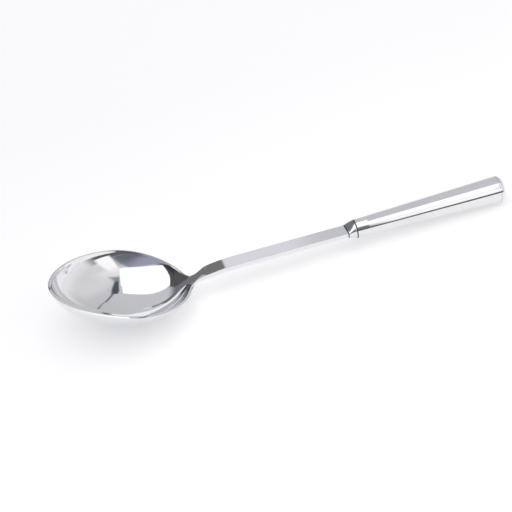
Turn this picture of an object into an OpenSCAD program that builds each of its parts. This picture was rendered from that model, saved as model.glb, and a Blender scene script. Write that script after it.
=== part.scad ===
// Solid serving spoon with a hollow round handle, lying at rest on a table.
// The spoon is drawn with its bowl rim level, then laid on the table by place().
// Along X runs the length, the bowl at -X and the handle end at +X. Z is up.

/* [Bowl] */
// Plan length of the bowl from its widest point to the tip
bowl_tip_len = 48.5; // [30:0.5:70]
// Plan length of the bowl from its widest point to the neck end
bowl_neck_len = 41.3; // [28:0.5:65]
// Half of the bowl's outside width
bowl_half_w = 36.9; // [24:0.5:48]
// Outside depth of the bowl below its rim
bowl_depth = 24.1; // [12:0.2:32]
// Sheet thickness of the bowl wall
bowl_wall = 1.8; // [1:0.1:2.5]
// How far the rim falls away from level at the tip
rim_fall = 2; // [0:0.1:4]
// Steepness of the wall at the rim, which the sheet's cut edge stands square to
rim_lean = 60; // [45:1:72]
// Roundness of the outline, two is an ellipse
plan_power = 1.85; // [1.7:0.01:2.2]
// Flatness of the bowl's bottom, higher is flatter
floor_power = 2.6; // [2.2:0.05:3.2]
// Roundness of the bowl wall below the rim, lower is fuller
wall_power = 0.8; // [0.6:0.02:1]

/* [Neck and stem] */
// Share of the bowl's neck end at which the neck leaves the bowl's outline
neck_start_share = 0.906; // [0.7:0.005:0.95]
// Distance behind the bowl's outline at which the neck has become the plain stem
neck_reach = 9.8; // [6:0.2:30]
// Length of the plain stem along X, from the neck to the handle
stem_len = 88.6; // [50:0.5:120]
// Width of the stem
stem_w = 10.3; // [8:0.1:14]
// Thickness of the stem
stem_t = 3.2; // [2.5:0.1:5]
// Rounding of the stem's long edges
stem_edge = 0.5; // [0.3:0.05:0.8]
// Height of the stem's middle above the rim where the neck ends
stem_height = 5.5; // [4:0.2:16]
// Angle of the neck's ramp where the stem begins
neck_rise = 26; // [14:0.5:34]
// Length over which the ramp bends to the straight stem
crook_len = 17.6; // [10:0.5:30]
// Angle of the straight stem and the handle
handle_rise = 16.9; // [10:0.5:28]

/* [Tang inside the handle] */
// Width of the tang
tang_w = 7.4; // [5:0.1:8.5]
// Thickness of the tang
tang_t = 2.6; // [1.8:0.1:3.2]
// Length of the tang behind the stem's shoulder
tang_len = 30; // [16:1:60]
// Gap between the tang and the collar's slot all round
tang_gap = 0.1; // [0.05:0.05:0.3]

/* [Handle] */
// Length of the collar in front of the tube
ferrule_len = 6; // [4:0.5:12]
// Share of that length that is solid round the tang, in front of the bore
ferrule_face_share = 0.8; // [0.5:0.02:0.85]
// Wall of the collar's plug
ferrule_wall = 1; // [0.6:0.1:1.6]
// Width of the collar's flat front
nose_w = 11.4; // [10:0.1:16]
// Thickness of the collar's flat front
nose_t = 4.6; // [4:0.1:8]
// Squareness of the front's outline, two is an ellipse
nose_power = 4; // [3:0.1:6]
// Width of the fine groove between collar and tube
seam_w = 0.4; // [0.2:0.05:0.6]
// Depth of that groove
seam_depth = 0.3; // [0.2:0.05:0.5]
// Rounding of the collar's front edge
ferrule_edge = 0.4; // [0.2:0.05:0.8]
// Depth of the collar's plug inside the tube
plug_len = 8; // [4:0.5:14]
// Length of the tapered tube
tube_len = 98; // [70:1:130]
// Outside radius of the tube's front end
tube_front_r = 6.2; // [5.8:0.1:9]
// Outside radius of the tube's rear end
tube_rear_r = 9.15; // [7.5:0.1:12]
// Wall of the tube
tube_wall = 0.8; // [0.5:0.1:1.2]
// Gap between the tube's bore and each plug
plug_gap = 0.05; // [0.02:0.01:0.1]

/* [End cap] */
// Height of the domed end
dome_h = 4.3; // [2.5:0.1:6]
// Height of the cap's straight edge
cap_land = 0.8; // [0.4:0.1:1.5]
// Depth of the cap's plug inside the tube
cap_plug = 6; // [3:0.5:10]
// Wall of the cap's plug and dome
cap_wall = 1; // [0.8:0.1:1.6]

/* [Hidden] */
steel = [0.78, 0.79, 0.81];
tip_steps = 13;
bowl_steps = 14;
neck_steps = 12;
crook_steps = 8;
stem_steps = 6;
side_steps = 11;
round_fn = 96;
edge_steps = 4;
rim_edge_power = 1.2;
stem_edge_power = 4;
tip_share = 0.35;
tip_start_share = 0.9995;
nudge_share = 0.01;
plan_limit_share = 0.97;
neck_start = bowl_neck_len * neck_start_share;
neck_end = bowl_neck_len + neck_reach;
handle_start = neck_end + stem_len;
stem_half = stem_w / 2;
rim_out = bowl_wall * sin(rim_lean);
rim_drop = bowl_wall * cos(rim_lean);
taper = (tube_rear_r - tube_front_r) / tube_len;
plug_r = tube_front_r - tube_wall - plug_gap;
cap_plug_r = tube_rear_r - tube_wall - plug_gap;
tube_end = ferrule_len + tube_len;
dome_start = tube_end + cap_land;
dome_steps = 14;
round_steps = 4;
collar_steps = 6;
drop_steps = 5;

// Curves of the bowl

// Cubic curve that leaves a at slope sa and reaches b at slope sb
function bend(a, sa, b, sb, run, s) =
    a * (2 * s * s * s - 3 * s * s + 1) + sa * run * (s * s * s - 2 * s * s + s)
    + b * (3 * s * s - 2 * s * s * s) + sb * run * (s * s * s - s * s);
function left_over(share, power) = max(0, 1 - pow(min(1, share), power));
function plan_len(x) = x < 0 ? bowl_tip_len : bowl_neck_len;
// Half width of the bowl's outline at x, drawn in by a given amount
function plan_w(x, inset) = (bowl_half_w - inset)
    * pow(left_over(abs(x) / (plan_len(x) - inset), plan_power), 1 / plan_power);
function rim_z(x) = -rim_fall * pow(x / bowl_tip_len, 2);
// Share of the full depth that the middle line has at x
function middle_share(x, inset) =
    pow(left_over(abs(x) / (plan_len(x) - inset), floor_power), wall_power);
// At the very tip the sheet's cut edge slopes down from the inside to the outside
function land_z(x) = rim_z(x) - rim_drop * max(0, (abs(x) - plan_len(x) + rim_out) / rim_out);

// Middle line of the stem: a ramp out of the bowl that bends to a straight line

function crook_share(x) = max(0, min(1, (x - neck_end) / crook_len));
function climbed_share(s) = s - s * s * s + s * s * s * s / 2;
function stem_z(x) = stem_height + (x - neck_end) * tan(handle_rise)
    + (tan(neck_rise) - tan(handle_rise)) * crook_len * climbed_share(crook_share(x));
function slope(x) = let (s = crook_share(x))
    atan(tan(neck_rise) + (tan(handle_rise) - tan(neck_rise)) * s * s * (3 - 2 * s));
// Sections turn from upright at the neck to square on the handle's line
function lean(x) = handle_rise * max(0, min(1, (x - neck_end) / stem_len));
function half_h(x, thick) = thick / 2 / (cos(slope(x)) + tan(lean(x)) * sin(slope(x)));
handle_z = stem_z(handle_start);

// Blend of the neck between bowl and stem

neck_run = neck_end - neck_start;
nudge = neck_run * nudge_share;
before = neck_start - nudge;
function neck_share(x) = max(0, min(1, (x - neck_start) / neck_run));
function blend(x, near, at, end, end_slope) =
    bend(at, (at - near) / nudge, end, end_slope, neck_run, neck_share(x));
stem_h = half_h(neck_end, stem_t);
stem_top = stem_height + stem_h;
stem_low = stem_height - stem_h;

function outer_w(x) = x <= neck_start ? plan_w(x, 0)
    : blend(x, plan_w(before, 0), plan_w(neck_start, 0), stem_half, 0);
function inner_w(x) = x <= neck_start
    ? max(plan_w(x, rim_out), tip_share * plan_w(x, 0))
    : blend(x, plan_w(before, rim_out), plan_w(neck_start, rim_out), stem_half - stem_edge, 0);
function bowl_inner_z(x) = land_z(x) - (bowl_depth - bowl_wall) * middle_share(x, rim_out);
function bowl_outer_z(x) = rim_z(x) - rim_drop - (bowl_depth - rim_drop) * middle_share(x, 0);
function top_z(x) = x <= neck_start ? land_z(x)
    : x >= neck_end ? stem_z(x) + half_h(x, stem_t)
    : blend(x, land_z(before), land_z(neck_start), stem_top, tan(neck_rise));
function inner_z(x) = x <= neck_start ? bowl_inner_z(x)
    : x >= neck_end ? top_z(x)
    : blend(x, bowl_inner_z(before), bowl_inner_z(neck_start), stem_top, tan(neck_rise));
function outer_z(x) = x <= neck_start ? bowl_outer_z(x)
    : x >= neck_end ? stem_z(x) - half_h(x, stem_t)
    : blend(x, bowl_outer_z(before), bowl_outer_z(neck_start), stem_low, tan(neck_rise));
// Height of the side face, from the sheet's cut edge to the stem's full side
function edge_h(x) = x <= neck_start ? rim_drop + land_z(x) - rim_z(x)
    : bend(rim_drop, 0, stem_h * 2 - stem_edge, 0, neck_run, neck_share(x));
function edge_power(x) = rim_edge_power + (stem_edge_power - rim_edge_power) * neck_share(x);

// Share of the depth at a share v of the half width
function depth_share(x, v) = let (
        a = min(plan_limit_share, pow(min(1, abs(x) / plan_len(x)), plan_power)),
        r = pow(a + (1 - a) * pow(abs(v), plan_power), 1 / plan_power))
    pow(left_over(r, floor_power) / left_over(pow(a, 1 / plan_power), floor_power), wall_power);

// One section as a ring of points: underside, right side, top side, left side

shares = [for (i = [-side_steps : side_steps]) sin(90 * i / side_steps)];
back = [for (i = [len(shares) - 1 : -1 : 0]) shares[i]];
function quarter_share(angle, power) = pow(sin(angle), 2 / power);
function ring(x, w, wi, top, edge, power, mid, low) = let (
        side = [for (i = [1 : edge_steps - 1]) let (t = 90 * i / edge_steps)
            [wi + (w - wi) * quarter_share(90 - t, power), top - edge + edge * quarter_share(t, power)]])
    concat(
        [for (v = shares) [x, w * v, top - edge + (low - top + edge) * depth_share(x, v)]],
        [for (p = side) [x, p[0], p[1]]],
        [for (v = back) [x, wi * v, top + (mid - top) * depth_share(x, v)]],
        [for (i = [len(side) - 1 : -1 : 0]) [x, -side[i][0], side[i][1]]]);
function leaned(points, x, z, angle) =
    [for (p = points) [p[0] - (p[2] - z) * tan(angle), p[1], p[2]]];
function blank_ring(x) = leaned(
    ring(x, outer_w(x), inner_w(x), top_z(x), edge_h(x), edge_power(x), inner_z(x), outer_z(x)),
    x, stem_z(x), lean(x));
// Square section of the tang, at a distance behind the shoulder
function tang_ring(d) = let (
        x = handle_start + d * cos(handle_rise),
        z = handle_z + d * sin(handle_rise),
        h = tang_t / 2 * cos(handle_rise))
    leaned(ring(x, tang_w / 2, tang_w / 2 - stem_edge, z + h, h * 2 - stem_edge, stem_edge_power,
        z + h, z - h), x, z, handle_rise);

stations = concat(
    [for (i = [0 : tip_steps - 1]) -bowl_tip_len * min(tip_start_share, cos(90 * i / tip_steps))],
    [for (i = [0 : bowl_steps - 1]) neck_start * i / bowl_steps],
    [for (i = [0 : neck_steps - 1]) neck_start + neck_run * i / neck_steps],
    [for (i = [0 : crook_steps - 1]) neck_end + crook_len * i / crook_steps],
    [for (i = [0 : stem_steps]) neck_end + crook_len + (stem_len - crook_len) * i / stem_steps]);
rings = concat([for (x = stations) blank_ring(x)], [tang_ring(0), tang_ring(tang_len)]);
ring_size = len(rings[0]);
last = (len(rings) - 1) * ring_size;
blank_points = [for (r = rings) each r];
blank_faces = concat(
    [[for (j = [0 : ring_size - 1]) j]],
    [for (i = [0 : len(rings) - 2]) for (j = [0 : ring_size - 1]) for (half = [0, 1])
        let (a = i * ring_size + j, b = i * ring_size + (j + 1) % ring_size)
        half == 0 ? [a, a + ring_size, b] : [b, a + ring_size, b + ring_size]],
    [[for (j = [ring_size - 1 : -1 : 0]) last + j]]);

// Laying the spoon on the table: tilt until bowl and cap touch it together

function turned_z(x, z, tilt) = z * cos(tilt) - x * sin(tilt);
function turned_x(x, z, tilt) = x * cos(tilt) + z * sin(tilt);
function low_bowl(tilt) = min([for (p = blank_points) turned_z(p[0], p[2], tilt)]);
function cap_point(r, z) = [handle_start + z * cos(handle_rise) + r * sin(handle_rise),
    handle_z + z * sin(handle_rise) - r * cos(handle_rise)];
cap_side = cap_point(tube_rear_r, dome_start);
function low_cap(tilt) = turned_z(cap_side[0], cap_side[1], tilt);
function settle(n, tilt) = n == 0 ? tilt
    : settle(n - 1, tilt + atan((low_cap(tilt) - low_bowl(tilt)) / cap_side[0]));
rest_tilt = settle(drop_steps, handle_rise);
rest_up = -low_bowl(rest_tilt);
tip_x = min([for (p = blank_points) turned_x(p[0], p[2], rest_tilt)]);
function dome_edge(i) = [tube_rear_r * cos(90 * i / dome_steps),
    dome_start + dome_h * sin(90 * i / dome_steps)];
end_x = max([for (i = [0 : dome_steps]) for (side = [-1, 1]) let (
        d = dome_edge(i), p = cap_point(side * d[0], d[1])) turned_x(p[0], p[1], rest_tilt)]);

module place() {
    translate([-(tip_x + end_x) / 2, 0, rest_up])
        rotate([0, rest_tilt, 0])
            children();
}

module on_handle() {
    place()
        translate([handle_start, 0, handle_z])
            rotate([0, 90 - handle_rise, 0])
                children();
}

// Bowl, neck, stem and tang are one stamping
module spoon_blank() {
    color(steel)
        place()
            polyhedron(blank_points, blank_faces, convexity = 6);
}

// Ring of points round the collar's outline at z, from its flat front to the round tube
function collar_ring(z, half_t, half_w, power) = [for (i = [0 : round_fn - 1]) let (
        c = cos(360 * i / round_fn), s = sin(360 * i / round_fn))
    [half_t * sign(c) * pow(abs(c), 2 / power), half_w * sign(s) * pow(abs(s), 2 / power), z]];
collar_body = ferrule_len - seam_w - ferrule_edge;
collar_rings = concat(
    [for (i = [0 : round_steps]) let (inset = ferrule_edge * (1 - sin(90 * i / round_steps)))
        collar_ring(ferrule_edge * (1 - cos(90 * i / round_steps)),
            nose_t / 2 - inset, nose_w / 2 - inset, nose_power)],
    [for (i = [1 : collar_steps]) let (s = i / collar_steps)
        collar_ring(ferrule_edge + collar_body * s,
            nose_t / 2 + (tube_front_r - nose_t / 2) * s,
            nose_w / 2 + (tube_front_r - nose_w / 2) * s,
            nose_power + (2 - nose_power) * s)]);
collar_faces = concat(
    [[for (j = [0 : round_fn - 1]) j]],
    [for (i = [0 : len(collar_rings) - 2]) for (j = [0 : round_fn - 1]) for (half = [0, 1])
        let (a = i * round_fn + j, b = i * round_fn + (j + 1) % round_fn)
        half == 0 ? [a, a + round_fn, b] : [b, a + round_fn, b + round_fn]],
    [[for (j = [round_fn - 1 : -1 : 0]) (len(collar_rings) - 1) * round_fn + j]]);

// Collar pressed from round to flat, with a slot for the tang and a plug inside the tube
module ferrule() {
    bore_r = plug_r - ferrule_wall;
    bore_start = ferrule_len * ferrule_face_share;
    groove_r = tube_front_r - seam_depth;
    color(steel)
        on_handle()
            difference() {
                union() {
                    polyhedron([for (r = collar_rings) each r], collar_faces, convexity = 4);
                    rotate_extrude($fn = round_fn)
                        polygon([[0, bore_start], [plug_r, bore_start], [plug_r, ferrule_len - seam_w * 1.5],
                            [groove_r, ferrule_len - seam_w * 1.5], [groove_r, ferrule_len],
                            [plug_r, ferrule_len], [plug_r, ferrule_len + plug_len],
                            [0, ferrule_len + plug_len]]);
                }
                translate([0, 0, bore_start])
                    cylinder(r = bore_r, h = 2 * (ferrule_len + plug_len), $fn = round_fn);
                cube([tang_t + 2 * tang_gap, tang_w + 2 * tang_gap, 4 * ferrule_len], center = true);
            }
}

// Tapered tube, open at both ends
module handle_tube() {
    color(steel)
        on_handle()
            rotate_extrude($fn = round_fn)
                polygon([
                    [tube_front_r - tube_wall, ferrule_len], [tube_front_r, ferrule_len],
                    [tube_rear_r, tube_end], [tube_rear_r - tube_wall, tube_end]]);
}

// Domed cap with a plug that sits in the tube's rear end
module end_cap() {
    bore_r = cap_plug_r - cap_wall - taper * cap_plug;
    dome = [for (i = [0 : dome_steps]) dome_edge(i)];
    color(steel)
        on_handle()
            rotate_extrude($fn = round_fn)
                polygon(concat(
                    [[bore_r, tube_end - cap_plug], [cap_plug_r - taper * cap_plug, tube_end - cap_plug],
                     [cap_plug_r, tube_end], [tube_rear_r, tube_end]],
                    dome,
                    [[0, dome_start], [bore_r, dome_start]]));
}

spoon_blank();
ferrule();
handle_tube();
end_cap();
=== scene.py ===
import math
import bmesh
import bpy
from mathutils import Matrix, Vector


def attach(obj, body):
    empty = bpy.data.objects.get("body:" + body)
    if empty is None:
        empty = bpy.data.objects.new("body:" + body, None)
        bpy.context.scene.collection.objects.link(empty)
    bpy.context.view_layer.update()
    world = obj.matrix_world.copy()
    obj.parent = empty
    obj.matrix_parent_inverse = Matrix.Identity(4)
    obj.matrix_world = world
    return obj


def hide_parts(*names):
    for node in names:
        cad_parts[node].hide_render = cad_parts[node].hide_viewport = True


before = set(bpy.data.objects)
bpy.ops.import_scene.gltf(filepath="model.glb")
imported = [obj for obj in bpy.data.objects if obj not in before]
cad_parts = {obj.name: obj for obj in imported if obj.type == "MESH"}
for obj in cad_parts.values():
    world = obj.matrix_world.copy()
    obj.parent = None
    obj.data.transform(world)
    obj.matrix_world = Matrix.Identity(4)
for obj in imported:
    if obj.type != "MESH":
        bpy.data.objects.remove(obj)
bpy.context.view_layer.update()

MM = 0.001

# The spoon's sizes in millimetres, drawn with the bowl's rim level
TIP_LEN, NECK_LEN, HALF_W, DEPTH, WALL = 48.5, 41.3, 36.9, 24.1, 1.8
RIM_FALL, PLAN_POWER, FLOOR_POWER, WALL_POWER = 2.0, 1.85, 2.6, 0.8
# the rim's edge leans outward, so the bowl's inside ends this far within its outline
RIM_LEAN, RIM_INSET = math.radians(60), 0.08
RIM_OUT = WALL * math.sin(RIM_LEAN) + RIM_INSET
# the even strip along the rim, the rounding of its edges, and what the tip gets back after smoothing
RIM_STRIP, RIM_ROUND, TIP_REACH = 0.55, 0.24, 0.28
NECK_START, NECK_END = 37.418, 51.1
STEM_W, STEM_T, STEM_HEIGHT, CROOK_LEN = 10.3, 3.2, 5.5, 17.6
NECK_RISE, HANDLE_RISE, HANDLE_START = math.radians(26), math.radians(16.9), 139.7
COLLAR_LEN, NOSE_W, NOSE_T, NOSE_POWER = 6.0, 11.4, 4.6, 4
FRONT_R, REAR_R, TUBE_LEN = 6.2, 9.15, 98.0
SEAM_W, SEAM_DEPTH, CAP_LAND, DOME_H = 0.4, 0.3, 0.8, 4.3
# plugs of the collar and the cap inside the tube, with their bores
TUBE_WALL, PLUG_LEN, PLUG_R, PLUG_BORE = 0.8, 8, FRONT_R - 0.85, FRONT_R - 1.85
CAP_PLUG, CAP_PLUG_R, CAP_PLUG_TIP, CAP_BORE = 6, 8.3, 8.1, 6.9
# broken edges: at the collar's nose and rear, at the tube's front and at the seam before the cap
NOSE_EDGE, REAR_EDGE, REAR_LIP = 0.4, 0.1, 0.12
TUBE_EDGE, TUBE_LIP, CAP_EDGE, CAP_CHAMFER = 0.07, 0.22, 0.06, 0.02

# How the spoon lies on the table
REST_TILT = math.radians(19.147)
REST_SHIFT = Vector((-102.692, 0, 26.919))


# Curves of the bowl and the stem
def left_over(share, power):
    return max(0.0, 1 - min(1.0, share) ** power)


def bend(a, sa, b, sb, run, s):
    return (a * (2 * s**3 - 3 * s**2 + 1) + sa * run * (s**3 - 2 * s**2 + s)
            + b * (3 * s**2 - 2 * s**3) + sb * run * (s**3 - s**2))


def plan_width(x):
    """Half width of the bowl's inside at its rim, on the neck's side."""
    return (HALF_W - RIM_OUT) * left_over(x / (NECK_LEN - RIM_OUT), PLAN_POWER) ** (1 / PLAN_POWER)


def bowl_depth(out):
    """Depth of the bowl's inside at a share of the way from its middle to its rim."""
    return (DEPTH - WALL) * left_over(out, FLOOR_POWER) ** WALL_POWER


def rim_height(x):
    return -RIM_FALL * (x / TIP_LEN) ** 2


def floor_height(x):
    """Height of the bowl's inside along its middle, on the neck's side."""
    return rim_height(x) - bowl_depth(x / (NECK_LEN - RIM_OUT))


def stem_middle(x):
    """Height of the stem's middle line: a ramp out of the bowl that bends to a straight line."""
    s = max(0.0, min(1.0, (x - NECK_END) / CROOK_LEN))
    extra = (math.tan(NECK_RISE) - math.tan(HANDLE_RISE)) * CROOK_LEN * (s - s**3 + s**4 / 2)
    return STEM_HEIGHT + (x - NECK_END) * math.tan(HANDLE_RISE) + extra


def stem_slope(x):
    s = max(0.0, min(1.0, (x - NECK_END) / CROOK_LEN))
    gain = math.tan(HANDLE_RISE) - math.tan(NECK_RISE)
    return math.atan(math.tan(NECK_RISE) + gain * s * s * (3 - 2 * s))


def stem_top(x):
    return stem_middle(x) + STEM_T / 2 / math.cos(stem_slope(x))


def neck_blend(x, curve, end, end_slope):
    """Carries a curve of the bowl on to its value on the stem."""
    run = NECK_END - NECK_START
    step = run * 0.01
    at = curve(NECK_START)
    slope = (at - curve(NECK_START - step)) / step
    return bend(at, slope, end, end_slope, run, max(0.0, min(1.0, (x - NECK_START) / run)))


def sheet_width(x):
    return plan_width(x) if x <= NECK_START else neck_blend(x, plan_width, STEM_W / 2, 0)


def sheet_height(x, curve):
    """Height of the sheet's rim or middle: the bowl's own curve, carried through the neck to the stem."""
    if x <= NECK_START:
        return curve(x)
    return stem_top(x) if x >= NECK_END else neck_blend(x, curve, stem_top(NECK_END), math.tan(NECK_RISE))


def depth_share(x, v):
    """Share of the depth at a share v of the half width."""
    a = min(0.97, min(1.0, x / (NECK_LEN - RIM_OUT)) ** PLAN_POWER)
    r = (a + (1 - a) * abs(v) ** PLAN_POWER) ** (1 / PLAN_POWER)
    return (left_over(r, FLOOR_POWER) / left_over(a ** (1 / PLAN_POWER), FLOOR_POWER)) ** WALL_POWER


def tip_place(u, v):
    """Place of a point of the bowl's tip half, from its row and its column running from -1 to 1.

    The rows bend to follow the rim, so that no strip runs out into it.
    """
    ahead, aside = u * math.sqrt(1 - v * v / 2), v * math.sqrt(1 - u * u / 2)
    length, out = math.hypot(ahead, aside), max(abs(u), abs(v))
    ahead, aside = ahead / length, aside / length
    reach = out * (abs(ahead) ** PLAN_POWER + abs(aside) ** PLAN_POWER) ** (-1 / PLAN_POWER)
    x = ahead * reach * (TIP_LEN - RIM_OUT + TIP_REACH)
    return x, aside * reach * (HALF_W - RIM_OUT), rim_height(x) - bowl_depth(out)


def thickness_share(x):
    s = max(0.0, min(1.0, (x - NECK_START) / (NECK_END - NECK_START)))
    s = s * s * (3 - 2 * s)
    return (WALL + (STEM_T - WALL) * s) / STEM_T


# Steps of modelling by hand
def clear_selection():
    if bpy.context.mode != "OBJECT":
        bpy.ops.object.mode_set(mode="OBJECT")
    bpy.ops.object.select_all(action="DESELECT")


def start(name):
    """Takes the primitive just added as the piece in hand."""
    piece = bpy.context.object
    piece.name = name
    piece.data.name = name
    return piece


def pick(bm, chosen):
    """Selects only these vertices of the piece in edit mode."""
    for v in bm.verts:
        v.select = False
    for v in chosen:
        v.select = True
    bm.select_flush_mode()


def take(piece):
    """Selects only this piece and makes it the one in hand."""
    clear_selection()
    piece.select_set(True)
    bpy.context.view_layer.objects.active = piece


def apply_modifiers(piece):
    take(piece)
    for m in list(piece.modifiers):
        bpy.ops.object.modifier_apply(modifier=m.name)


def lay_down(piece):
    """Tilts a piece drawn with the rim level on to the table."""
    take(piece)
    piece.matrix_world = (Matrix.Translation(REST_SHIFT * MM)
                          @ Matrix.Rotation(REST_TILT, 4, "Y") @ piece.matrix_world)
    bpy.ops.object.transform_apply(location=True, rotation=True, scale=True)


def onto_handle(piece):
    """Puts a piece turned on the Z axis on the handle's line."""
    take(piece)
    piece.matrix_world = (Matrix.Translation(Vector((HANDLE_START, 0, stem_middle(HANDLE_START))) * MM)
                          @ Matrix.Rotation(math.pi / 2 - HANDLE_RISE, 4, "Y") @ piece.matrix_world)
    bpy.ops.object.transform_apply(location=True, rotation=True, scale=True)
    lay_down(piece)


def finish_piece(piece, node, material, angle=35):
    take(piece)
    bpy.ops.object.shade_smooth_by_angle(angle=math.radians(angle))
    piece.data.materials.clear()
    piece.data.materials.append(material)
    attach(piece, "root")
    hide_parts(node)


def model_blank(material):
    """Sheet drawn row by row, then given its thickness, rounded rim and smooth surface."""
    tip = TIP_LEN - RIM_OUT + TIP_REACH
    rows = [-tip] + [(RIM_STRIP - tip) * math.cos(math.pi / 2 * i / 13) for i in range(13)]
    rows += [NECK_START * i / 12 for i in range(12)]
    rows += [NECK_START + (NECK_END - NECK_START) * i / 10 for i in range(10)]
    rows += [NECK_END + CROOK_LEN * i / 8 for i in range(8)]
    rows += [NECK_END + CROOK_LEN + (HANDLE_START - NECK_END - CROOK_LEN) * i / 7 for i in range(8)]
    half = 9
    clear_selection()
    bpy.ops.mesh.primitive_grid_add(x_subdivisions=len(rows) - 1, y_subdivisions=2 * half,
                                    size=2, location=(0, 0, 0))
    piece = start("blank_sheet")
    bpy.ops.object.mode_set(mode="EDIT")
    bpy.ops.mesh.select_mode(type="VERT")
    bm = bmesh.from_edit_mesh(piece.data)
    order = sorted(bm.verts, key=lambda v: (round(v.co.x, 4), round(v.co.y, 4)))
    wide = 2 * half + 1
    grid = [order[i * wide:(i + 1) * wide] for i in range(len(rows))]
    for x, row in zip(rows, grid):
        # the row to its place along the spoon and to its width
        half_width = sheet_width(max(0, x))
        pick(bm, row)
        bpy.ops.transform.translate(value=(x * MM - row[0].co.x, 0, 0))
        bpy.ops.transform.resize(value=(1, half_width * MM, 1), center_override=(0, 0, 0))
        # the outermost strip keeps one width, for an even rim; the others narrow towards it
        strip = RIM_STRIP / half_width
        for j in range(half + 1):
            # the pair of points at this share of the width, slid out and sunk to its depth
            pair = {row[half - j], row[half + j]}
            even = j / half
            share = 1 if j == half else (1 - strip) * math.sin(math.pi / 2 * j / (half - 1))
            pick(bm, pair)
            if x < 0:
                along, aside, z = tip_place(x / tip, share)
            else:
                edge, middle = sheet_height(x, rim_height), sheet_height(x, floor_height)
                along, aside, z = x, share * half_width, edge + (middle - edge) * depth_share(x, share)
            if j:
                widen = aside / (even * half_width)
                bpy.ops.transform.resize(value=(1, widen, 1), center_override=(0, 0, 0))
            bpy.ops.transform.translate(value=((along - x) * MM, 0, z * MM))
    numbers = [v.index for v in order]
    bpy.ops.object.mode_set(mode="OBJECT")
    group = piece.vertex_groups.new(name="thickness")
    for i, x in enumerate(rows):
        group.add(numbers[i * wide:(i + 1) * wide], thickness_share(x), "REPLACE")
    wall = piece.modifiers.new("wall", "SOLIDIFY")
    wall.thickness = STEM_T * MM
    wall.offset = -1
    wall.use_even_offset = True
    wall.vertex_group = "thickness"
    rim = piece.modifiers.new("rim", "BEVEL")
    rim.width = RIM_ROUND * MM
    rim.use_clamp_overlap = False
    rim.segments = 2
    rim.limit_method = "ANGLE"
    rim.angle_limit = math.radians(50)
    smooth = piece.modifiers.new("smooth", "SUBSURF")
    smooth.levels = smooth.render_levels = 2
    apply_modifiers(piece)
    lay_down(piece)
    finish_piece(piece, "spoon_blank", material, 60)


def turn(name, profile, steps=128):
    """Draws a profile of (radius, height) points by extruding, then spins it round Z."""
    clear_selection()
    bpy.ops.mesh.primitive_plane_add(size=2 * MM, location=(0, 0, 0))
    piece = start(name)
    bpy.ops.object.mode_set(mode="EDIT")
    bpy.ops.mesh.select_mode(type="VERT")
    bpy.ops.mesh.select_all(action="SELECT")
    bpy.ops.mesh.merge(type="CENTER")
    here = Vector((profile[0][0], 0, profile[0][1])) * MM
    bpy.ops.transform.translate(value=here)
    for r, z in profile[1:]:
        there = Vector((r, 0, z)) * MM
        bpy.ops.mesh.extrude_region_move(TRANSFORM_OT_translate={"value": there - here})
        here = there
    bpy.ops.mesh.select_all(action="SELECT")
    bpy.ops.mesh.spin(steps=steps, angle=math.tau, center=(0, 0, 0), axis=(0, 0, 1))
    bpy.ops.mesh.select_all(action="SELECT")
    bpy.ops.mesh.remove_doubles(threshold=0.00001)
    bpy.ops.mesh.normals_make_consistent(inside=False)
    bpy.ops.object.mode_set(mode="OBJECT")
    return piece


def shape_ring(bm, ring, half_t, half_w, power):
    """Pulls a ring of points to a rounded box outline, four mirrored points at a time."""
    count = len(ring)
    for i in range(count // 4 + 1):
        angle = math.tau * i / count
        c, s = math.cos(angle), math.sin(angle)
        points = {ring[i], ring[(count // 2 - i) % count],
                  ring[(count // 2 + i) % count], ring[-i % count]}
        wide = half_t * max(0.0, c) ** (2 / power) / (abs(ring[i].co.x) / MM) if i < count // 4 else 1
        deep = half_w * s ** (2 / power) / (abs(ring[i].co.y) / MM) if i else 1
        pick(bm, points)
        bpy.ops.transform.resize(value=(wide, deep, 1), center_override=(0, 0, 0))


def in_ring_order(points):
    """Points of a ring in their order round it, from +X."""
    return sorted(points, key=lambda v: math.atan2(v.co.y, v.co.x) % (math.tau - 1e-4))


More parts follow.
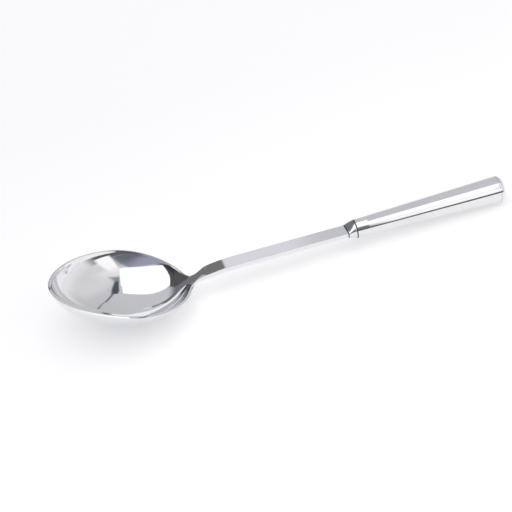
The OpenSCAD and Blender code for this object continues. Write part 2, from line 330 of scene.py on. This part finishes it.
def model_collar(material):
    """Collar pressed from the round tube to the flat stem, drawn ring by ring from its front."""
    clear_selection()
    bpy.ops.mesh.primitive_circle_add(vertices=96, radius=NOSE_T / 2 * MM, location=(0, 0, 0),
                                      fill_type="NOTHING")
    piece = start("collar")
    bpy.ops.object.mode_set(mode="EDIT")
    bpy.ops.mesh.select_mode(type="VERT")
    bm = bmesh.from_edit_mesh(piece.data)
    ring = in_ring_order(bm.verts)
    # each section: its height, its half thickness and half width, and the power of its outline
    sections = []
    for i in range(5):
        angle = math.pi / 2 * i / 4
        back = NOSE_EDGE * (1 - math.sin(angle))
        sections.append((NOSE_EDGE * (1 - math.cos(angle)), NOSE_T / 2 - back, NOSE_W / 2 - back, NOSE_POWER))
    body = COLLAR_LEN - SEAM_W - NOSE_EDGE - REAR_EDGE
    for i in range(1, 9):
        s = i / 8
        sections.append((NOSE_EDGE + body * s, NOSE_T / 2 + (FRONT_R - NOSE_T / 2) * s,
                         NOSE_W / 2 + (FRONT_R - NOSE_W / 2) * s, NOSE_POWER + (2 - NOSE_POWER) * s))
    # round sections: the lip, the seam's groove, the plug and its bore
    lip, groove = FRONT_R - REAR_LIP, FRONT_R - SEAM_DEPTH - REAR_EDGE
    for z, r in ((COLLAR_LEN - SEAM_W, lip), (COLLAR_LEN - SEAM_W, groove), (COLLAR_LEN, groove),
                 (COLLAR_LEN, PLUG_R), (COLLAR_LEN + PLUG_LEN, PLUG_R),
                 (COLLAR_LEN + PLUG_LEN, PLUG_BORE), (COLLAR_LEN - 1, PLUG_BORE)):
        sections.append((z, r, r, 2))
    shape_ring(bm, ring, *sections[0][1:])
    low = 0
    for z, half_t, half_w, power in sections[1:]:
        pick(bm, ring)
        bpy.ops.mesh.extrude_region_move(TRANSFORM_OT_translate={"value": (0, 0, (z - low) * MM)})
        bm = bmesh.from_edit_mesh(piece.data)
        bm.verts.ensure_lookup_table()
        ring = in_ring_order([v for v in bm.verts if v.select])
        shape_ring(bm, ring, half_t, half_w, power)
        low = z
    # both ends are closed with a face; the tang's slot is hidden behind the stem's shoulder
    pick(bm, ring)
    bpy.ops.mesh.edge_face_add()
    front = [v for v in bm.verts if v.co.z < 1e-7]
    pick(bm, front)
    bpy.ops.mesh.edge_face_add()
    bpy.ops.mesh.select_all(action="SELECT")
    bpy.ops.mesh.normals_make_consistent(inside=False)
    bpy.ops.object.mode_set(mode="OBJECT")
    onto_handle(piece)
    finish_piece(piece, "ferrule", material)


def model_tube(material):
    end = COLLAR_LEN + TUBE_LEN
    taper = (REAR_R - FRONT_R) / TUBE_LEN
    inset = 0.25
    cuts = [COLLAR_LEN + inset + (TUBE_LEN - 2 * inset) * i / 12 for i in range(13)]
    outside = [(FRONT_R + taper * (z - COLLAR_LEN), z) for z in cuts]
    profile = [(FRONT_R - TUBE_WALL, COLLAR_LEN), (FRONT_R - TUBE_LIP, COLLAR_LEN),
               (FRONT_R - TUBE_EDGE, COLLAR_LEN + TUBE_EDGE)]
    profile += outside
    profile += [(REAR_R - CAP_CHAMFER, end - CAP_EDGE / 2), (REAR_R - CAP_EDGE, end),
                (REAR_R - TUBE_WALL, end), (REAR_R - TUBE_WALL - taper * TUBE_LEN, COLLAR_LEN)]
    piece = turn("tube", profile)
    onto_handle(piece)
    finish_piece(piece, "handle_tube", material)


def model_cap(material):
    end = COLLAR_LEN + TUBE_LEN
    land, plug_end, rise = end + CAP_LAND, end - CAP_PLUG, DOME_H - 0.01
    profile = [(CAP_BORE, plug_end), (CAP_PLUG_TIP, plug_end), (CAP_PLUG_R, end),
               (REAR_R - CAP_EDGE, end), (REAR_R - CAP_CHAMFER, end + CAP_EDGE / 2)]
    for i in range(20):
        angle = math.pi / 2 * i / 20
        profile.append((REAR_R * math.cos(angle), land + rise * math.sin(angle)))
    profile += [(0, land + rise), (0, land), (CAP_BORE, land), (CAP_BORE, plug_end)]
    piece = turn("cap", profile)
    onto_handle(piece)
    finish_piece(piece, "end_cap", material)


# Writing of materials
class Wire:
    """A shader socket that can be used in sums."""

    def __init__(self, shade, socket):
        self.shade, self.socket = shade, socket

    def _op(self, operation, *others):
        return self.shade.node("ShaderNodeMath", {"operation": operation},
                               **{str(i): v for i, v in enumerate(others)})

    def __add__(self, other): return self._op("ADD", self, other)
    def __radd__(self, other): return self._op("ADD", other, self)
    def __sub__(self, other): return self._op("SUBTRACT", self, other)
    def __rsub__(self, other): return self._op("SUBTRACT", other, self)
    def __mul__(self, other): return self._op("MULTIPLY", self, other)
    def __rmul__(self, other): return self._op("MULTIPLY", other, self)
    def __truediv__(self, other): return self._op("DIVIDE", self, other)
    def __rtruediv__(self, other): return self._op("DIVIDE", other, self)
    def absolute(self): return self._op("ABSOLUTE", self)
    def least(self, other): return self._op("MINIMUM", self, other)
    def most(self, other): return self._op("MAXIMUM", self, other)

    def out(self, name): return Wire(self.shade, self.socket.node.outputs[name])

    def ramp(self, low, high, to_low=0.0, to_high=1.0, smooth=False):
        kind = {"interpolation_type": "SMOOTHSTEP" if smooth else "LINEAR"}
        return self.shade.node("ShaderNodeMapRange", kind, **{
            "0": self, "1": low, "2": high, "3": to_low, "4": to_high})


class Shade:
    """Makes nodes in one tree."""

    def __init__(self, tree):
        self.tree = tree
        tree.nodes.clear()

    def node(self, kind, settings=None, out=0, **inputs):
        n = self.tree.nodes.new(kind)
        for key, value in (settings or {}).items():
            setattr(n, key, value)
        for key, value in inputs.items():
            socket = n.inputs[int(key)] if key.isdigit() else n.inputs[key.replace("_", " ")]
            if isinstance(value, Wire):
                self.tree.links.new(value.socket, socket)
            elif value is not None:
                socket.default_value = value
        return Wire(self, n.outputs[out]) if len(n.outputs) else None

    def colour_mix(self, factor, a, b):
        n = self.tree.nodes.new("ShaderNodeMix")
        n.data_type = "RGBA"
        for i, value in ((0, factor), (6, a), (7, b)):
            if isinstance(value, Wire):
                self.tree.links.new(value.socket, n.inputs[i])
            else:
                n.inputs[i].default_value = value if i == 0 else (*value, 1)
        return Wire(self, n.outputs[2])

    def place(self):
        return self.node("ShaderNodeTexCoord", out="Object")

    def noise(self, vector, scale, detail=3.0, rough=0.5):
        return self.node("ShaderNodeTexNoise", Vector=vector, Scale=scale, Detail=detail, Roughness=rough)


def new_material(name):
    material = bpy.data.materials.new(name)
    material.use_nodes = True
    return material, Shade(material.node_tree)


# Steel of the spoon
HANDLE_SLOPE = REST_TILT - HANDLE_RISE
# how far along the handle's line the seams lie, in millimetres from the middle of the spoon
COLLAR_FRONT, COLLAR_BACK, CAP_SEAM = 39.893, 45.69, 143.893
# the steel's own tint, and a near-black colour painted along the seams as the shade in their grooves
STEEL, SEAM_SHADE = (0.80, 0.805, 0.82), (0.045, 0.043, 0.042)


def polished_steel(name, tint, seams=()):
    """Mirror polish with buffing lines, faint smudges and painted shade in the seams' grooves."""
    material, s = new_material(name)
    where = s.place()
    # buffing lines run along the spoon, so the noise is stretched on X
    lines = s.noise(s.node("ShaderNodeMapping", Vector=where, Scale=(60, 1400, 1400)), 1.0, 4, 0.6)
    smudge = s.noise(where, 38.0, 3, 0.55).ramp(0.42, 0.7, smooth=True)
    spots = s.noise(where, 210.0, 2, 0.5).ramp(0.62, 0.8, smooth=True)
    seam_shade_noise = s.noise(where, 900.0, 2, 0.6)
    rough = 0.035 + 0.03 * smudge + 0.02 * spots + 0.015 * lines
    colour = s.colour_mix(smudge, tint, tuple(c * 0.965 for c in tint))
    colour = s.colour_mix(spots * 0.5, colour, tuple(c * 0.93 for c in tint))
    along = s.node("ShaderNodeVectorMath", {"operation": "DOT_PRODUCT"}, out="Value",
                   **{"0": where, "1": (math.cos(HANDLE_SLOPE), 0, -math.sin(HANDLE_SLOPE))})
    # painted shade: near-black bands along the seams stand in for the shade in their grooves, patchy by noise
    # and rougher there
    seam_shade = None
    for place, wide in seams:
        near = (along - place * MM).absolute().ramp(wide * 0.6 * MM, wide * 1.3 * MM, 1.0, 0.0, smooth=True)
        seam_shade = near if seam_shade is None else seam_shade.most(near)
    seam_shade = seam_shade * seam_shade_noise.ramp(0.3, 0.6, 0.75, 1.0)
    colour = s.colour_mix(seam_shade, colour, SEAM_SHADE)
    rough = rough + 0.4 * seam_shade
    bump = s.node("ShaderNodeBump", Strength=0.02, Distance=0.00002, Height=lines)
    shader = s.node("ShaderNodeBsdfPrincipled", Base_Color=colour, Metallic=1.0, Roughness=rough, Normal=bump)
    s.node("ShaderNodeOutputMaterial", Surface=shader)
    return material


# The room that lights the spoon and the floor, and that the polished metal shows.
# A place in it is given by its plan: how far to +X and +Y a line of sight runs for each unit that it climbs.
class Sky(Shade):
    """Paints the room round the spoon with soft-edged panels."""

    def __init__(self, tree):
        super().__init__(tree)
        where = self.node("ShaderNodeTexCoord", out="Generated")
        self.climb = self.node("ShaderNodeSeparateXYZ", out="Z", Vector=where)
        self.to_x, self.to_y = self.climb.out("X"), self.climb.out("Y")
        self.plan = self.node("ShaderNodeVectorMath", {"operation": "SCALE"}, Vector=where,
                              Scale=1.0 / self.climb.most(0.02))

    def beyond(self, place, ahead):
        """Distance of the plan beyond a place, towards a direction of length one."""
        back = -(place[0] * ahead[0] + place[1] * ahead[1])
        return self.node("ShaderNodeVectorMath", {"operation": "DOT_PRODUCT"}, out="Value",
                         **{"0": self.plan, "1": (*ahead, back)})

    def fade(self, start, end):
        """Rises from none at one place to full at another."""
        run = math.dist(start, end)
        ahead = ((end[0] - start[0]) / run, (end[1] - start[1]) / run)
        return self.beyond(start, ahead).ramp(0.0, run, smooth=True)

    def panel(self, corners, soft):
        """Share of a panel with these corners in order and an edge of this softness."""
        middle = [sum(c[i] for c in corners) / len(corners) for i in (0, 1)]
        share = None
        for a, b in zip(corners, corners[1:] + corners[:1]):
            run = math.dist(a, b)
            ahead = ((a[1] - b[1]) / run, (b[0] - a[0]) / run)
            if (middle[0] - a[0]) * ahead[0] + (middle[1] - a[1]) * ahead[1] < 0:
                ahead = (-ahead[0], -ahead[1])
            inside = self.beyond(a, ahead).ramp(-soft, soft, smooth=True)
            share = inside if share is None else share.least(inside)
        return share


def make_world():
    world = bpy.data.worlds.new("room")
    bpy.context.scene.world = world
    world.use_nodes = True
    s = Sky(world.node_tree)
    walls = (0.66, 0.66, 0.70)
    for share, colour in (
            # pale warm wall on the handle's side, brightest at its foot
            (s.fade((0.62, 0.0), (1.0, -0.25)), (0.80, 0.78, 0.79)),
            (s.fade((1.0, 0.1), (0.6, 1.4)) * s.fade((0.3, 0.0), (0.9, 0.0)), (0.62, 0.63, 0.63)),
            (s.panel([(0.46, -0.66), (1.1, -0.64), (1.6, -0.9), (1.0, -1.35), (0.45, -1.15)], 0.5),
             (1.0, 0.96, 0.96)),
            # dark bar between that wall and the ceiling, with a thin line that runs on from it
            (s.panel([(0.60, 0.10), (0.66, 0.31), (0.78, 0.33), (0.77, 0.0), (0.72, -0.42), (0.57, -0.42)],
                     0.03), (0.095, 0.105, 0.115)),
            (s.panel([(0.53, -0.36), (0.74, -0.36), (0.93, -0.60), (0.51, -0.60)], 0.09),
             (0.29, 0.34, 0.345)),
            (s.panel([(0.725, 0.30), (0.77, 0.30), (0.89, 0.84), (0.85, 0.84)], 0.02), (0.16, 0.165, 0.17)),
            (s.panel([(0.855, 0.80), (0.885, 0.80), (1.42, 1.95), (1.36, 1.95)], 0.025), (0.2, 0.2, 0.2)),
            # dim corner on the bowl's side
            (s.fade((-0.45, 0.9), (-1.0, 1.0)), (0.20, 0.205, 0.23)),
            (s.panel([(-0.74, 0.40), (-1.0, 0.74), (-1.5, 1.05), (-9, 1.6), (-9, -0.82), (-1.24, -0.66)],
                     0.06), (0.105, 0.10, 0.105)),
            (s.panel([(-1.36, 0.1), (-9, 0.6), (-9, -0.82), (-1.32, -0.7)], 0.25), (0.045, 0.045, 0.055)),
            # dark doorway that the neck looks at
            (s.panel([(-1.1, 1.10), (-0.25, 1.18), (-0.25, 1.45), (-1.1, 2.6)], 0.03), (0.20, 0.20, 0.205)),
            (s.panel([(-0.3, 1.18), (0.11, 1.18), (0.11, 1.36), (-0.3, 1.36)], 0.025), (0.20, 0.20, 0.205)),
            # blue-grey wall behind the camera, darker towards its corner
            (s.panel([(-9, -0.90), (-1.25, -0.76), (-0.45, -0.90), (0.14, -0.93), (0.5, -1.5), (1.0, -2.1),
                      (5, -8), (0, -20), (-12, -12)], 0.05), (0.385, 0.39, 0.49)),
            (s.panel([(-1.6, -2.4), (0.1, -1.25), (0.5, -1.45), (1.05, -2.1), (5, -8), (0, -20)], 0.5),
             (0.165, 0.185, 0.215)),
            # white strip of ceiling that only the handle sees, past the softbox
            (s.panel([(-0.6, -0.11), (0.50, -0.11), (0.53, -1.05), (0.24, -1.05), (-0.6, -0.8)], 0.03),
             (1.3, 1.3, 1.32)),
            # paler wall that the stem looks at
            (s.panel([(0.12, 1.2), (0.36, 1.2), (0.36, 1.42), (0.12, 1.42)], 0.03), (0.83, 0.82, 0.87)),
            # the walls run on into the pale floor
            (s.climb.ramp(0.34, 0.0, smooth=True) * s.to_x.ramp(-0.6, 0.4), (0.95, 0.94, 0.95)),
            # low dark wall in front, which draws the lower edges of the bowl and the handle
            (s.climb.ramp(0.27, 0.23, smooth=True) * s.to_y.ramp(-0.5, -0.75, smooth=True),
             (0.13, 0.135, 0.155)),
            ):
        walls = s.colour_mix(share, walls, colour)
    room = s.node("ShaderNodeBackground", Color=walls)
    s.node("ShaderNodeOutputWorld", Surface=room)


def make_card(name, corners, colour, strength, fades=None, top_fade=None):
    """Lit card that the camera alone doesn't see; its ends along X and its top can fade out."""
    mesh = bpy.data.meshes.new(name)
    mesh.from_pydata(corners, [], [range(len(corners))])
    card = bpy.data.objects.new(name, mesh)
    bpy.context.scene.collection.objects.link(card)
    material, s = new_material(name + "_face")
    seen = 1 - s.node("ShaderNodeLightPath", out="Is Camera Ray")
    if fades:
        x = s.node("ShaderNodeSeparateXYZ", Vector=s.place())
        seen = seen * x.ramp(fades[0], fades[1], smooth=True) * x.ramp(fades[3], fades[2], smooth=True)
        if top_fade:
            seen = seen * x.out("Z").ramp(top_fade[1], top_fade[0], smooth=True)
    face = s.node("ShaderNodeEmission", Color=(*colour, 1), Strength=strength)
    gone = s.node("ShaderNodeBsdfTransparent")
    mixed = s.node("ShaderNodeMixShader", **{"0": seen, "1": gone, "2": face})
    s.node("ShaderNodeOutputMaterial", Surface=mixed)
    mesh.materials.append(material)


def make_cards():
    # softbox over the bowl
    high = 0.6
    bowl_x = -0.085
    plan = ((0.46, 0.28), (0.0, 0.30), (-0.74, 0.37), (-1.0, 0.05), (-1.28, -0.62), (-0.45, -0.80),
            (0.33, -0.86))
    make_card("softbox", [(x * high + bowl_x, y * high, high) for x, y in plan], (1, 1, 1), 1.35)
    # white card in front of the handle
    far, low, top = -0.5, 0.13, 0.66
    make_card("front_card", [(0.15, far, low), (0.52, far, low), (0.52, far, top), (0.15, far, top)],
              (1, 0.975, 0.985), 1.2, (0.15, 0.20, 0.38, 0.50), (0.36, top))


# what the floor gives back of the room's light, and a faint light of its own that brings it near white
FLOOR_TONE, FLOOR_LIFT = 0.9, 0.32


def make_floor():
    """Plain pale floor, the same to the camera and to the metal, that keeps the spoon's soft shadow."""
    clear_selection()
    bpy.ops.mesh.primitive_plane_add(size=30, location=(0, 0, 0))
    floor = start("floor")
    material, s = new_material("pale_floor")
    plain = s.node("ShaderNodeBsdfDiffuse", Color=(FLOOR_TONE, FLOOR_TONE, FLOOR_TONE, 1))
    lift = s.node("ShaderNodeEmission", Color=(1, 1, 1, 1), Strength=FLOOR_LIFT)
    pale = s.node("ShaderNodeAddShader", **{"0": plain, "1": lift})
    s.node("ShaderNodeOutputMaterial", Surface=pale)
    floor.data.materials.append(material)


def make_camera():
    """Camera at the photo's viewing angle: distances in metres, angles in degrees."""
    rise, swing, roll = math.radians(37.84), math.radians(9.01), math.radians(11.81)
    distance, across, up = 0.7751, 0.02171, -0.00643
    level = Vector((math.cos(swing), -math.sin(swing), 0))
    ahead = Vector((math.sin(swing) * math.cos(rise), math.cos(swing) * math.cos(rise), -math.sin(rise)))
    over = level.cross(ahead)
    right = math.cos(roll) * level - math.sin(roll) * over
    top = math.sin(roll) * level + math.cos(roll) * over
    camera = bpy.data.objects.new("camera", bpy.data.cameras.new("camera"))
    bpy.context.scene.collection.objects.link(camera)
    camera.location = -across * right - up * top - distance * ahead
    camera.rotation_mode = "QUATERNION"
    camera.rotation_quaternion = Matrix((right, top, -ahead)).transposed().to_quaternion()
    sensor, half_view = 36, math.radians(12)
    camera.data.sensor_width = sensor
    camera.data.lens = sensor / 2 / math.tan(half_view)
    camera.data.clip_start, camera.data.clip_end = 0.01, 100
    bpy.context.scene.camera = camera


bpy.context.scene.view_settings.view_transform = "Standard"
make_camera()
make_world()
make_cards()
make_floor()
blank_steel = polished_steel("polished_blank_steel", STEEL, ((COLLAR_FRONT, 0.3),))
handle_steel = polished_steel("polished_handle_steel", STEEL,
                              ((COLLAR_FRONT, 0.36), (COLLAR_BACK, 0.44), (CAP_SEAM, 0.08)))
model_blank(blank_steel)
model_collar(handle_steel)
model_tube(handle_steel)
model_cap(handle_steel)
